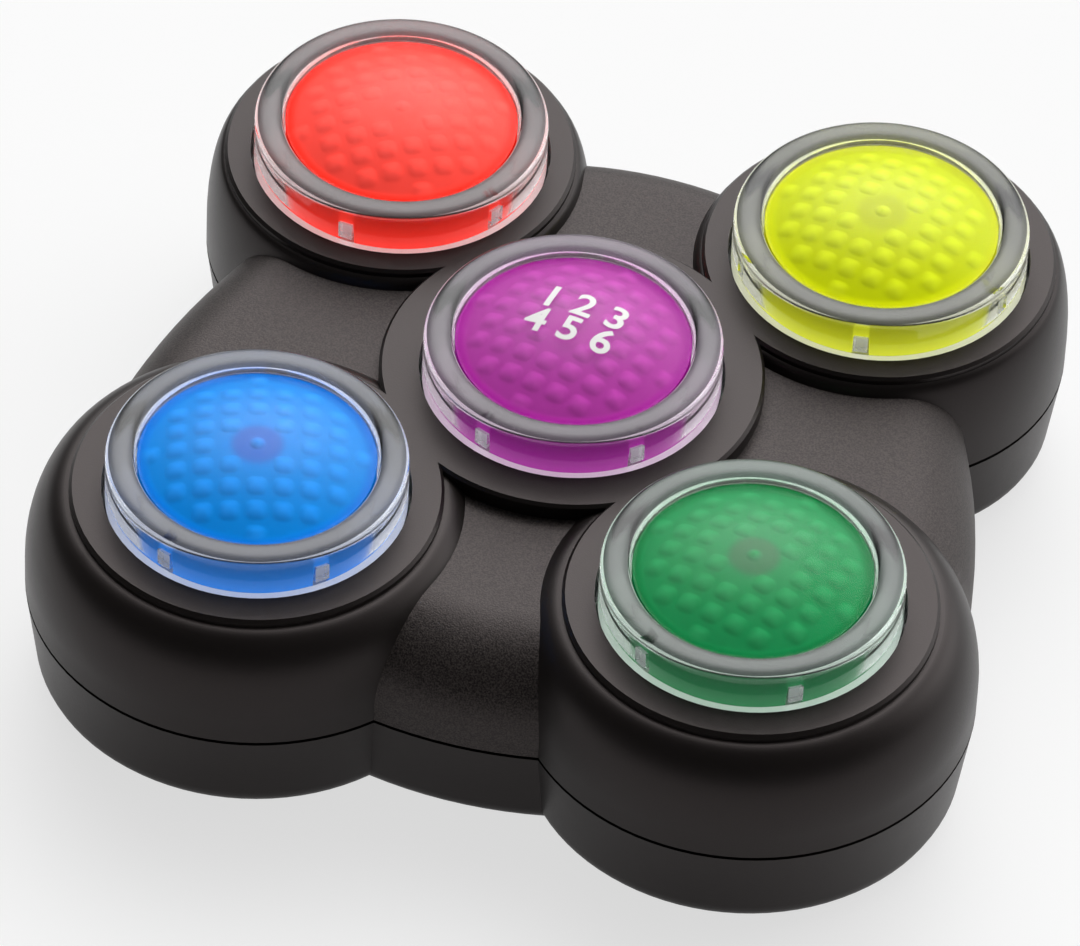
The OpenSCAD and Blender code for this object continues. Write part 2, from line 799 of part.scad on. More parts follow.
// Round wire swept along a list of points as one closed tube
function unit(v) = v / norm(v);
function ring_at(p, t, r, sides) =
    let (u = unit(cross(t, abs(t[2]) < 0.9 ? [0, 0, 1] : [1, 0, 0])), v = cross(t, u))
    [for (k = [0:sides - 1]) p + r * (cos(360 * k / sides) * u + sin(360 * k / sides) * v)];
module wire(path, r, sides = 6) {
    n = len(path);
    tangents = [for (i = [0:n - 1]) unit(path[min(i + 1, n - 1)] - path[max(i - 1, 0)])];
    points = [for (i = [0:n - 1]) each ring_at(path[i], tangents[i], r, sides)];
    low = [[for (k = [0:sides - 1]) k]];
    high = [[for (k = [sides - 1:-1:0]) (n - 1) * sides + k]];
    skin = [
        for (i = [0:n - 2], k = [0:sides - 1])
            let (a = i * sides + k, b = i * sides + (k + 1) % sides)
            each [[a, a + sides, b], [b, a + sides, b + sides]]
    ];
    polyhedron(points, concat(low, skin, high));
}

spring_turns = 4;
spring_r = [3.4, 2.2];
module cell_springs() {
    x_plate = box_half_x - contact_t - spring_wire / 2;
    coil_l = spring_l + cell_room / 4 - spring_wire;
    coil = [
        for (k = [0:8 * spring_turns])
            let (t = k / (8 * spring_turns), r = spring_r[0] + (spring_r[1] - spring_r[0]) * t)
            [x_plate - coil_l * t, r * cos(45 * k), r * sin(45 * k)]
    ];
    color(steel)
        for (k = cells)
            translate([box_at[0], box_at[1] + k * cell_step, z_cell])
                mirror([k == 0 ? 0 : 1, 0, 0])
                    wire(coil, spring_wire / 2);
}

// Contact plates at both ends of every cell, two of them with a solder tab outside the box
module cell_contacts() {
    plate = 3 * cell_d / 4;
    color(steel) {
        for (k = cells, s = [-1, 1])
            translate([box_at[0] + s * (box_half_x - contact_t / 2), box_at[1] + k * cell_step, z_cell])
                cube([contact_t, plate, plate], center = true);
        for (s = [-1, 1])
            block(box_at + s * [box_half_x - contact_t + (box_wall + tab_l + contact_t) / 2, cell_step],
                [box_wall + tab_l + contact_t, tab_w], z_tab, z_tab + contact_t);
    }
}

module switch_body() {
    color(steel)
        difference() {
            block(switch_at, switch_size, z_floor, z_floor + switch_size[2]);
            block(switch_at,
                [knob[0] + 2 * slider_ear + switch_travel + 2 * knob_gap, knob[1] + 2 * knob_gap],
                z_floor - eps, z_floor + slider_h + 2 * knob_gap);
        }
}

// Slider at the off end of its travel, with a ribbed knob that stays inside the floor
module switch_slider() {
    at = switch_at - [switch_travel / 2, 0];
    color(dark) {
        difference() {
            block(at, knob, foot_h + door_sunk, z_floor + knob_gap + slider_h);
            for (k = [-1:1])
                block(at + [k * knob[0] / 4, 0], [rib_w, 2 * knob[1]], foot_h, foot_h + 2 * door_sunk);
        }
        block(at, knob + [2 * slider_ear, 0], z_floor + knob_gap, z_floor + knob_gap + slider_h);
    }
}

module battery_leads() {
    color([0.75, 0.1, 0.1])
        pegs([for (s = [-1, 1]) box_at + s * [box_half_x + box_wall + tab_l / 2, cell_step]],
            lead_r, z_tab + contact_t, z_under);
}

module speaker_leads() {
    color([0.15, 0.15, 0.15])
        pegs([for (s = [-1, 1]) speaker_at + [s * 2 * magnet_r / 3, 0]], lead_r,
            z_floor + speaker_h + magnet_h, z_under);
}

module switch_leads() {
    color([0.85, 0.75, 0.2])
        pegs([for (s = [-1, 1]) switch_at + [s * switch_size[0] / 3, 0]], lead_r, z_floor + switch_size[2], z_under);
}

// Clear ring with its rounded rim, retaining flange and keys
module button_ring(b) {
    color(clear)
        translate(place(b)) {
            rotate_extrude()
                polygon(concat(
                    [[bore_r, z_cap], [flange_r, z_cap], [flange_r, z_cap + flange_t],
                        [ring_r, z_cap + flange_t]],
                    [for (a = [0:15:180])
                        [lip_r + bead + bead * cos(a), z_rim - bead + bead * sin(a)]],
                    [[lip_r, z_seat], [bore_r, z_seat]]
                ));
            for (k = [0:key_count - 1])
                rotate(b[4] + 360 * k / key_count)
                    intersection() {
                        translate([lens_in, -key_w / 2, z_skirt + seat_gap])
                            cube([ring_r - lens_in, key_w, z_key - z_skirt - seat_gap]);
                        cylinder(r = ring_r - ring_t / 2, h = z_rim);
                    }
        }
}

// Heights of a spherical cap of radius r and the lens's own crown
cap_r = (lens_r * lens_r + lens_crown * lens_crown) / (2 * lens_crown);
function cap_points(ball, r) = [
    for (k = [0:dome_steps])
        let (x = r * (1 - k / dome_steps))
        [x, z_lens + lens_crown - cap_r + sqrt(ball * ball - x * x)]
];

// Domed coloured lens with a foot under the ring, notched for the keys
module button_lens(b) {
    under = cap_points(cap_r - lens_t, lens_in - lens_t);
    color(b[3])
        translate(place(b))
            difference() {
                rotate_extrude()
                    polygon(concat(
                        [[lens_in, z_skirt], [skirt_r, z_skirt], [skirt_r, z_seat], [lens_r, z_seat]],
                        cap_points(cap_r, lens_r),
                        [for (k = [dome_steps:-1:0]) under[k]],
                        [[lens_in, z_lens - lens_t]]
                    ));
                for (k = [0:key_count - 1])
                    rotate(b[4] + 360 * k / key_count)
                        translate([lens_in - lens_t, -key_w / 2 - seat_gap, z_skirt - eps])
                            cube([ring_r, key_w + 2 * seat_gap, z_key + seat_gap - z_skirt]);
            }
}

// White plunger under a lens, with a tube that presses the rubber dome
module button_plunger(b) {
    color(white)
        translate(place(b))
            rotate_extrude()
                polygon([
                    [tube_r, z_tube], [tube_r + plunger_t, z_tube], [tube_r + plunger_t, z_cap],
                    [skirt_r, z_cap], [skirt_r, z_skirt], [tube_r, z_skirt],
                ]);
}

// Ring-shaped rubber dome that carries the contact and returns the button
module button_dome(b) {
    r = rubber_d / 2;
    top = tube_r + plunger_t;
    color(rubber)
        translate([place(b)[0], place(b)[1], z_board])
            rotate_extrude()
                polygon([
                    [r - 2 * web_t, 0], [r, 0], [r, web_t], [r - web_t, 3 * web_t / 2],
                    [top + web_t / 3, rubber_h - 3 * web_t / 2], [top + web_t / 4, rubber_h],
                    [tube_r, rubber_h], [tube_r, rubber_h - pill_t], [top - web_t / 3, rubber_h - pill_t],
                    [r - 2 * web_t, web_t],
                ]);
}

module button_led(b) {
    r = led_d / 2;
    color(b[3])
        translate([place(b)[0], place(b)[1], z_board]) {
            cylinder(r = r + led_flange, h = led_flange_h);
            cylinder(r = r, h = led_h - r);
            translate([0, 0, led_h - r])
                sphere(r);
            for (s = [-1, 1])
                translate([s * led_legs / 2, 0, -board_t - leg_out])
                    cylinder(r = leg_r, h = board_t + leg_out + eps);
        }
}

upper_case();
lower_case();
battery_door();
door_screws();
case_screws();
rubber_feet();
circuit_board();
board_screws();
contact_rings();
controller_chip();
board_capacitor();
board_resistors();
speaker_frame();
speaker_magnet();
speaker_cone();
cell_front();
cell_middle();
cell_rear();
cell_springs();
cell_contacts();
switch_body();
switch_slider();
battery_leads();
speaker_leads();
switch_leads();
for (b = BUTTONS) {
    button_ring(b);
    button_lens(b);
    button_plunger(b);
    button_dome(b);
    button_led(b);
}
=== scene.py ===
"""Looks of an electronic memory game: a black four-lobed case with five lit push buttons.

Every piece sits at the origin, in metres, with its place in its mesh, and rides on a body of
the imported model. Sizes in millimetres are multiplied by MM where they are named.
"""

import json
import math

import bmesh
import bpy
import numpy as np
from mathutils import Matrix, Vector


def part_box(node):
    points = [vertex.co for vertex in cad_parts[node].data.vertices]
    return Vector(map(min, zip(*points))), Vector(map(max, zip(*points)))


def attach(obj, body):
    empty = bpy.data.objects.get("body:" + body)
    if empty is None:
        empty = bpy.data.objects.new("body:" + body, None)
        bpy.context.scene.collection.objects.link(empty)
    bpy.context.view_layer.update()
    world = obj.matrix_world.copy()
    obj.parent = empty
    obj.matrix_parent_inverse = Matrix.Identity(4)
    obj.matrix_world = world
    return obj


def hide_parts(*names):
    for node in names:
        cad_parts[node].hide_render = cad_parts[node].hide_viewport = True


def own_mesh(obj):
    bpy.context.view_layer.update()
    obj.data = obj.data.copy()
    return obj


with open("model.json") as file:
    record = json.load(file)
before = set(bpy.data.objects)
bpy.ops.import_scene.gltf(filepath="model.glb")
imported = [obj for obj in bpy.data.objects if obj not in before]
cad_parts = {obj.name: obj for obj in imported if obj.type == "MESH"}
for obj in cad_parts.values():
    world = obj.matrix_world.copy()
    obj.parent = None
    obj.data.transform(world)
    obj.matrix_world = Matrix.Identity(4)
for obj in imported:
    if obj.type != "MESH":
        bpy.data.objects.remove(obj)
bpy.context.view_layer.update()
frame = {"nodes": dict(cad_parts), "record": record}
cad = frame["nodes"]
scene = bpy.context.scene
MM = 0.001

# Camera, fitted to the outlines of the five lenses
CAMERA_AZIMUTH = math.radians(13.80)
CAMERA_ELEVATION = math.radians(45.54)
CAMERA_ROLL = math.radians(2.73)
CAMERA_DISTANCE = 1209.9 * MM
CAMERA_TARGET = Vector((2.344, -21.974, 36.5)) * MM
CAMERA_LENS = 323.85
CAMERA_SENSOR = 36.0
CAMERA_NEAR = 50.0 * MM

# Soft lights: where each comes from, how fast it falls off away from there, and its level
LIGHTS = (
    (Vector((-0.12, 0.69, 0.71)), 22.0, 6.0),
    (Vector((0.68, 0.62, 0.38)), 20.0, 3.0),
)
LIGHT_ROUND = 0.07

# Floor, with the shares of plain white that straight and mirrored looks at it get
FLOOR_HALF = 4.0
FLOOR_PALE = (0.92, 0.92, 0.92)
FLOOR_ROUGH = 0.9
FLOOR_WHITE = 0.68
FLOOR_MIRRORED = 0.38

# Lobes of the case, which round off from the wall at LOBE_LOW to the collar at LOBE_HIGH
FRONT_LOBE_R = 29.0 * MM
FRONT_COLLAR_R = 23.5 * MM
REAR_LOBE_R = 25.0 * MM
REAR_COLLAR_R = 22.8 * MM
BOSS_R = 24.5 * MM
LOBE_LOW = 19.0 * MM
LOBE_HIGH = 30.4 * MM
LOBE_SLACK = 0.05 * MM
COLLAR_Z = 30.0 * MM
COLLAR_FLAT = 0.99
CASE_PANEL = 1
CASE_COLLAR = 2
CASE_CREASE = 30
WELD = 0.0001 * MM

# Case plastic
CASE_BLACK = (0.0095, 0.0078, 0.0074)
COLLAR_BLACK = (0.017, 0.0143, 0.0134)
PANEL_BLACK = (0.027, 0.0228, 0.0214)
CASE_SHEEN = (1.0, 0.87, 0.86)

# Other moulded finishes: colour, roughness, cells of grain per metre, strength of the grain, shine,
# and how far the colour varies
MOULDED = {
    "plunger_white": ((0.80, 0.80, 0.78), 0.45, 900.0, 0.1, 0.5, 0.03),
    "dome_silicone": ((0.55, 0.55, 0.53), 0.6, 1200.0, 0.1, 0.5, 0.05),
    "foot_rubber": ((0.02, 0.02, 0.02), 0.75, 3000.0, 0.4, 0.3, 0.25),
    "board_green": ((0.02, 0.14, 0.05), 0.35, 700.0, 0.1, 0.5, 0.15),
    "chip_epoxy": ((0.012, 0.012, 0.013), 0.28, 400.0, 0.15, 0.5, 0.25),
    "magnet_dark": ((0.06, 0.06, 0.065), 0.55, 1500.0, 0.3, 0.5, 0.25),
    "cone_paper": ((0.03, 0.03, 0.03), 0.85, 2500.0, 0.6, 0.5, 0.25),
    "cell_jacket": ((0.05, 0.05, 0.055), 0.3, 600.0, 0.05, 0.5, 0.25),
    "lead_red": ((0.45, 0.02, 0.02), 0.4, 1500.0, 0.1, 0.5, 0.25),
    "lead_black": ((0.015, 0.015, 0.015), 0.4, 1500.0, 0.1, 0.5, 0.25),
}
# Lamps have their lens's colour, and then the same values
LAMP = (0.15, 300.0, 0.02, 0.5, 0.05)
GRAIN_DEPTH = 0.03 * MM
ROUGH_SPREAD = 0.06

# Plated finishes: colour, roughness and cells of the scratches per metre
PLATED = {
    "screw_steel": ((0.55, 0.55, 0.57), 0.38, 2500.0),
    "plated_steel": ((0.66, 0.66, 0.67), 0.3, 1800.0),
    "contact_gold": ((0.80, 0.58, 0.22), 0.3, 2000.0),
}
SCRATCH_DEPTH = 0.01 * MM
SCRATCH_STRENGTH = 0.15
SCRATCH_DETAIL = 6.0
SCRATCH_ROUGH = 0.7
# Shares of the colour, and steps of the roughness, between the scratches and on them
PLATED_TONES = (0.85, 1.1)
PLATED_STEPS = (-0.08, 0.1)

# Clear plastic: its refraction, and the cells per metre, strength and depth of its unevenness
ACRYLIC_IOR = 1.42
FACE_IOR = 1.15
WAVE_CELLS = 180.0
WAVE_STRENGTH = 0.04
WAVE_DEPTH = 0.2 * MM

# Rings, with the rows of the rim that are left clear at each of its edges, and their finishes
RING_R = 19.0 * MM
RING_BORE = 15.2 * MM
RING_FLANGE = 1.4 * MM
RING_FILLET = 0.1 * MM
RING_CREASE = 50
FILLET_STEPS = 5
SKIRT_T = 0.3 * MM
HOLLOW_H = 2.25 * MM
RIM_H = 1.4 * MM
RIM_POWER = 2.8
RIM_STEPS = 33
RIM_EDGE = 8
RING_FROSTED = 1
RING_KEY = 2
RING_ROOF = 3
# Roof of the ring's hollow: a painted pale colour and a painted glow, which show through the wall as
# bright crescents
ROOF_PAINTED_WHITE = 0.75
ROOF_PAINTED_GLOW = 0.5

# Keys of the rings, whose flanks slope between two shares of half a key
KEY_COUNT = 5
KEY_W = 1.6 * MM
KEY_GAP = 0.2 * MM
KEY_DROP = 4.2 * MM
KEY_RISE = 0.4 * MM
KEY_SLOPE = 0.1 * MM
KEY_FLANK = (0.9, 1.1)
KEY_PALE = (0.80, 0.81, 0.83)
# Painted glow of the keys: a faint emission that stands in for light
KEY_PAINTED_GLOW = 0.22

# Lenses: a clear face, and a coloured body below it with a lip, a wall and a nib
LENS_R = 15.0 * MM
LENS_CROWN = 3.4 * MM
LENS_WALL = 1.35 * MM
ROUND_STEPS = 240
FACE_T = 0.35 * MM
FACE_STEPS = 40
FACE_EDGE_STEPS = 7
FACE_EDGE_TURN = 70
FACE_CREASE = 60
FACE_WHITE = 0.85
COLOUR_SHARE = 0.15
BODY_GAP = 0.05 * MM
BODY_CORNER = 0.05 * MM
BODY_STEPS = 90
BODY_UNDER_STEP = 6
BODY_CREASE = 40
GRID_DROP = 1.0 * MM
LIP_R = 13.4 * MM
LIP_H = 0.6 * MM
CAP_T = 0.9 * MM
NIB_R = 1.0 * MM
NIB_H = 0.5 * MM
NIB_POWER = 0.7

# Bumps of the lenses, with rounded square outlines
BUMP_PITCH = 3.35 * MM
BUMP_H = 0.46 * MM
BUMP_SHARE = 0.40
BUMP_SQUARE = 3
BUMP_INNER_R = 3.4 * MM
BUMP_OUTER_R = 15.3 * MM

# Colour zones of a lens body, from 0 at its middle disc to 1 at its foot, and its painted glow, a faint
# emission that stands in for the light the lens carries inside
DISC_R = 3.4 * MM
DISC_FADE = (0.8, 1.1)
BORDER_R = 13.1 * MM
FACE_ZONE = 0.35
BORDER_ZONE = 0.6
WALL_ZONES = (0.6, 1.0, 0.6)
# Painted highlight: the tops of the bumps take a lighter copy of the face colour
PAINTED_HIGHLIGHT_GAIN = 1.2
PAINTED_HIGHLIGHT_LIFT = 0.01
# Painted light: the foot takes a lighter copy of the border colour, for light gathered low in the wall
FOOT_PAINTED_LIGHT_GAIN = 1.2
FOOT_PAINTED_LIGHT_LIFT = 0.02
FACE_PAINTED_GLOW = 0.26
FOOT_PAINTED_GLOW = 1.1
BODY_ROUGH = 0.4

# Numbers printed on the middle lens
NUMERALS = "1 2 3\n4 5 6"
NUMERAL_SIZE = 5.8 * MM
NUMERAL_RAISE = 1.2 * MM
NUMERAL_BOLD = 0.11 * MM
NUMERAL_TURN = -9
NUMERAL_LINE = 0.8
NUMERAL_STEPS = 4
NUMERAL_CUTS = 2
NUMERAL_CREASE = 40
PRINT_T = 0.03 * MM
PRINT_GAP = 0.02 * MM

# Each button: colours of its lens at its middle, over its face and at its border, and the turns of
# its keys and of its grid of bumps in degrees
BUTTONS = {
    "red": ((0.71, 0.056, 0.040), (0.79, 0.066, 0.048), (0.92, 0.016, 0.003), 45, 28),
    "yellow": ((0.39, 0.43, 0.008), (0.45, 0.505, 0.002), (0.52, 0.55, 0.001), 60, -11),
    "blue": ((0.033, 0.13, 0.43), (0.003, 0.205, 0.55), (0.001, 0.145, 0.53), 28, 16),
    "green": ((0.043, 0.135, 0.067), (0.013, 0.195, 0.070), (0.001, 0.13, 0.036), 16, -16),
    "purple": ((0.305, 0.034, 0.25), (0.305, 0.037, 0.255), (0.27, 0.005, 0.23), 27, -15),
}


# Mesh helpers


def piece_from(name, vertices, faces, materials):
    """Object at the origin from an array of points and a list of faces, shaded smooth, with its faces
    turned outwards."""
    mesh = bpy.data.meshes.new(name)
    mesh.from_pydata(vertices.reshape(-1, 3).tolist(), [], faces)
    turner = bmesh.new()
    turner.from_mesh(mesh)
    bmesh.ops.recalc_face_normals(turner, faces=turner.faces)
    turner.to_mesh(mesh)
    turner.free()
    mesh.polygons.foreach_set("use_smooth", np.ones(len(mesh.polygons), bool))
    for material in materials:
        mesh.materials.append(material)
    return placed(name, mesh)


def placed(name, data):
    """New object of a mesh, text or camera, in the scene at the origin."""
    piece = bpy.data.objects.new(name, data)
    scene.collection.objects.link(piece)
    return piece


def crease(piece, degrees):
    """Edges whose faces meet at more than this angle stay sharp."""
    piece.data.set_sharp_from_angle(angle=math.radians(degrees))


def strip_faces(rows, columns, close_rows):
    """Quads of a grid of rows by columns that closes along its columns, and along its rows too
    where close_rows is set."""
    i = np.arange(rows if close_rows else rows - 1)[:, None]
    j = np.arange(columns)[None, :]
    up, right = (i + 1) % rows, (j + 1) % columns
    quads = np.stack(
        [i * columns + j, i * columns + right, up * columns + right, up * columns + j], -1
    )
    return quads.reshape(-1, 4).tolist()


def fan_faces(pole, ring_start, columns):
    """Triangles from one pole to a ring of vertices."""
    j = np.arange(columns)
    ring = ring_start + j
    following = ring_start + (j + 1) % columns
    return np.stack([np.full(columns, pole), ring, following], -1).tolist()


def turned(radius, height, angle, centre):
    """Points of a surface of revolution: radius and height are arrays of profile by angle."""
    x = centre[0] + radius * np.cos(angle)
    y = centre[1] + radius * np.sin(angle)
    return np.stack([x, y, np.broadcast_to(height, x.shape)], -1)


def capped(name, radius, height, angle, centre, pole_heights, materials):
    """Closed turned piece whose first and last rows close on poles on its axis."""
    points = turned(radius, height, angle, centre)
    rows, columns = points.shape[:2]
    poles = np.array([[centre[0], centre[1], z] for z in pole_heights])
    count = rows * columns
    faces = strip_faces(rows, columns, False)
    faces += fan_faces(count, 0, columns)
    faces += fan_faces(count + 1, count - columns, columns)
    return piece_from(name, np.concatenate([points.reshape(-1, 3), poles]), faces, materials)


def arc(centre_r, centre_z, r, start, end, steps):
    """Profile points along a circular arc, angles in degrees."""
    a = np.radians(np.linspace(start, end, steps))
    return np.stack([centre_r + r * np.cos(a), centre_z + r * np.sin(a)], -1)


def key_angles(turn, half):
    """Angles round a button, evenly spread, with extra ones at both flanks of every key."""
    even = np.linspace(0, 2 * np.pi, ROUND_STEPS, endpoint=False)
    keys = np.radians(turn) + 2 * np.pi * np.arange(KEY_COUNT) / KEY_COUNT
    inner, outer = KEY_FLANK
    flanks = half * np.array([-outer, -inner, inner, outer])
    every = np.concatenate([even, (keys[:, None] + flanks).ravel() % (2 * np.pi)])
    return np.unique(np.round(every, 6))


def near_key(angle, turn, half):
    """1 at a key and 0 away from one, with a short ramp at its flanks."""
    step = 2 * np.pi / KEY_COUNT
    off = np.abs((angle - np.radians(turn) + step / 2) % step - step / 2)
    inner, outer = KEY_FLANK
    return np.clip((outer * half - off) / ((outer - inner) * half), 0, 1)


def smooth_step(value, low, high):
    """0 below low, 1 above high, and a smooth rise between."""
    t = np.clip((value - low) / (high - low), 0, 1)
    return t * t * (3 - 2 * t)


# Materials


def shader_of(name):
    """New material and its Principled node."""
    material = bpy.data.materials.new(name)
    material.use_nodes = True
    return material, material.node_tree.nodes["Principled BSDF"]


def add_node(owner, kind, **values):
    """New node of a material or world, with its inputs set by name."""
    made = owner.node_tree.nodes.new(kind)
    for key, value in values.items():
        made.inputs[key.replace("_", " ")].default_value = value
    return made


def join(owner, source, target):
    owner.node_tree.links.new(source, target)


def math_node(owner, operation, *values):
    """Output of a new Math node. Each value is a number or another node's output."""
    made = add_node(owner, "ShaderNodeMath")
    made.operation = operation
    for socket, value in zip(made.inputs, values):
        if isinstance(value, float):
            socket.default_value = value
        else:
            join(owner, value, socket)
    return made.outputs[0]


def noise_on(material, scale, detail=2.0, rough=0.5):
    """Noise texture on Object coordinates, scale in cells per metre."""
    where = add_node(material, "ShaderNodeTexCoord")
    noise = add_node(material, "ShaderNodeTexNoise", Scale=scale, Detail=detail, Roughness=rough)
    join(material, where.outputs["Object"], noise.inputs["Vector"])
    return noise.outputs["Fac"]


def ramp_on(material, value, low, high, span=1.0):
    """Colour or grey that goes from low to high over a span in the middle of a 0 to 1 value."""
    ramp = add_node(material, "ShaderNodeValToRGB")
    stops = ramp.color_ramp.elements
    stops[0].position = 0.5 - span / 2
    stops[1].position = 0.5 + span / 2
    stops[0].color = (*np.broadcast_to(low, 3), 1)
    stops[1].color = (*np.broadcast_to(high, 3), 1)
    join(material, value, ramp.inputs["Fac"])
    return ramp.outputs["Color"]


def bump_on(material, shader, height, strength, depth):
    """Bump of that depth in metres on the shader's normal."""
    bump = add_node(material, "ShaderNodeBump", Strength=strength, Distance=depth)
    join(material, height, bump.inputs["Height"])
    join(material, bump.outputs["Normal"], shader.inputs["Normal"])


def moulded(name, colour, roughness, grain, strength, shine, spread, depth=GRAIN_DEPTH,
            sheen=(1, 1, 1), span=1.0):
    """Moulded plastic: a base colour that varies a little and a fine surface grain."""
    material, shader = shader_of(name)
    colour = np.array(colour)
    fac = noise_on(material, grain)
    base = ramp_on(material, fac, colour * (1 - spread), colour * (1 + spread), span)
    join(material, base, shader.inputs["Base Color"])
    rough = ramp_on(material, fac, roughness - ROUGH_SPREAD, roughness + ROUGH_SPREAD)
    join(material, rough, shader.inputs["Roughness"])
    shader.inputs["Specular IOR Level"].default_value = shine
    shader.inputs["Specular Tint"].default_value = (*sheen, 1)
    bump_on(material, shader, fac, strength, depth)
    return material


def case_plastic(name, colour, roughness, grain, shine, spread, depth, span):
    """Black case moulding with a faintly warm sheen."""
    return moulded(name, colour, roughness, grain, 1.0, shine, spread, depth, CASE_SHEEN, span)


def plated(name, colour, roughness, grain):
    """Plated metal with fine directionless scratches, which are a little brighter and rougher than the
    rest of it."""
    material, shader = shader_of(name)
    dull, bright = (np.minimum(np.array(colour) * tone, 1) for tone in PLATED_TONES)
    smooth, coarse = (roughness + step for step in PLATED_STEPS)
    fac = noise_on(material, grain, detail=SCRATCH_DETAIL, rough=SCRATCH_ROUGH)
    join(material, ramp_on(material, fac, dull, bright), shader.inputs["Base Color"])
    join(material, ramp_on(material, fac, smooth, coarse), shader.inputs["Roughness"])
    shader.inputs["Metallic"].default_value = 1.0
    bump_on(material, shader, fac, SCRATCH_STRENGTH, SCRATCH_DEPTH)
    return material


def lens_plastic(name, colours):
    """Lens plastic coloured by two attributes: zone goes from 0 at the middle over the face and the
    border to 1 at the foot, and the other, 1 on top of a bump, lightens the colour as a painted
    highlight. A painted glow, a faint emission for the light translucent plastic carries inside, is
    stronger at the foot."""
    material, shader = shader_of(name)
    zone = add_node(material, "ShaderNodeAttribute")
    zone.attribute_name = "zone"
    ramp = add_node(material, "ShaderNodeValToRGB")
    for place in (FACE_ZONE, BORDER_ZONE):
        ramp.color_ramp.elements.new(place)
    for stop, colour in zip(ramp.color_ramp.elements, colours):
        stop.color = (*colour, 1)
    join(material, zone.outputs["Fac"], ramp.inputs["Fac"])
    # Painted highlight: the tops of the bumps and the nib are lighter
    painted_highlight = add_node(material, "ShaderNodeAttribute")
    painted_highlight.attribute_name = "painted_highlight"
    lightest = np.minimum(np.array(colours[1]) * PAINTED_HIGHLIGHT_GAIN + PAINTED_HIGHLIGHT_LIFT, 1)
    lighter = add_node(material, "ShaderNodeMix")
    lighter.data_type = "RGBA"
    lighter.inputs["B"].default_value = (*lightest, 1)
    join(material, painted_highlight.outputs["Fac"], lighter.inputs["Factor"])
    join(material, ramp.outputs["Color"], lighter.inputs["A"])
    for socket in ("Base Color", "Emission Color"):
        join(material, lighter.outputs["Result"], shader.inputs[socket])
    # Painted glow: a faint emission over the whole body, stronger towards the foot, that stands in for
    # light
    painted_glow_level = add_node(
        material, "ShaderNodeMapRange", From_Min=BORDER_ZONE, To_Min=FACE_PAINTED_GLOW, To_Max=FOOT_PAINTED_GLOW
    )
    join(material, zone.outputs["Fac"], painted_glow_level.inputs["Value"])
    join(material, painted_glow_level.outputs["Result"], shader.inputs["Emission Strength"])
    shader.inputs["Roughness"].default_value = BODY_ROUGH
    shader.inputs["Specular IOR Level"].default_value = 0.0
    return material


def clear_moulding(name, tint, roughness, ior, clear):
    """Clear plastic with a faint unevenness that breaks up its reflections."""
    material, shader = shader_of(name)
    shader.inputs["Base Color"].default_value = (*tint, 1)
    shader.inputs["Roughness"].default_value = roughness
    shader.inputs["IOR"].default_value = ior
    shader.inputs["Transmission Weight"].default_value = clear
    bump_on(material, shader, noise_on(material, WAVE_CELLS, detail=1.0), WAVE_STRENGTH, WAVE_DEPTH)
    return material


def give_painted_glow(material, colour, strength):
    """Gives a material a painted glow: a faint emission that stands in for the light that clear plastic
    carries inside and scatters there.
    """
    shader = material.node_tree.nodes["Principled BSDF"]
    shader.inputs["Emission Color"].default_value = (*colour, 1)
    shader.inputs["Emission Strength"].default_value = strength
    return material


def tinted_white(white, colour):
    """White of that level with a little of a colour, taken at its full brightness."""
    return tuple(white + COLOUR_SHARE * np.array(colour) / max(colour))


satin_black = case_plastic(
    "satin_black", CASE_BLACK, roughness=0.36, grain=4200.0, shine=0.31, spread=0.2,
    depth=0.008 * MM, span=1.0,
)
matte_black = case_plastic(
    "matte_black", COLLAR_BLACK, roughness=0.44, grain=5200.0, shine=0.36, spread=0.3,
    depth=0.012 * MM, span=1.0,
)
grained_black = case_plastic(
    "grained_black", PANEL_BLACK, roughness=0.48, grain=4600.0, shine=0.36, spread=0.95,
    depth=0.05 * MM, span=0.3,
)
clear_acrylic = clear_moulding(
    "clear_acrylic", (0.86, 0.87, 0.88), roughness=0.08, ior=ACRYLIC_IOR, clear=0.97
)
frosted_acrylic = clear_moulding(
    "frosted_acrylic", (0.045, 0.046, 0.049), roughness=0.24, ior=ACRYLIC_IOR, clear=0.93
)
key_acrylic_painted_glow = clear_moulding("key_acrylic_painted_glow", KEY_PALE, roughness=0.5, ior=ACRYLIC_IOR, clear=0.35)
# Painted glow on the keys: a faint emission that stands in for light
give_painted_glow(key_acrylic_painted_glow, KEY_PALE, KEY_PAINTED_GLOW)

finishes = {"case_black": satin_black}
for slot_name, look in MOULDED.items():
    finishes[slot_name] = moulded(slot_name, *look)
for slot_name, look in PLATED.items():
    finishes[slot_name] = plated(slot_name, *look)
for colour_name, look in BUTTONS.items():
    finishes["led_" + colour_name] = moulded("led_" + colour_name, look[1], *LAMP)


def dress_nodes():
    """Gives every CAD node the finish of its slot in the record. The slots with no finish here are
    those of the rings and lenses, which other pieces replace."""
    for part in frame["record"]["subparts"]:
        material = finishes.get(part["material_slot"], satin_black)
        mesh = cad[part["node"]].data
        mesh.materials.clear()
        mesh.materials.append(material)


# Case


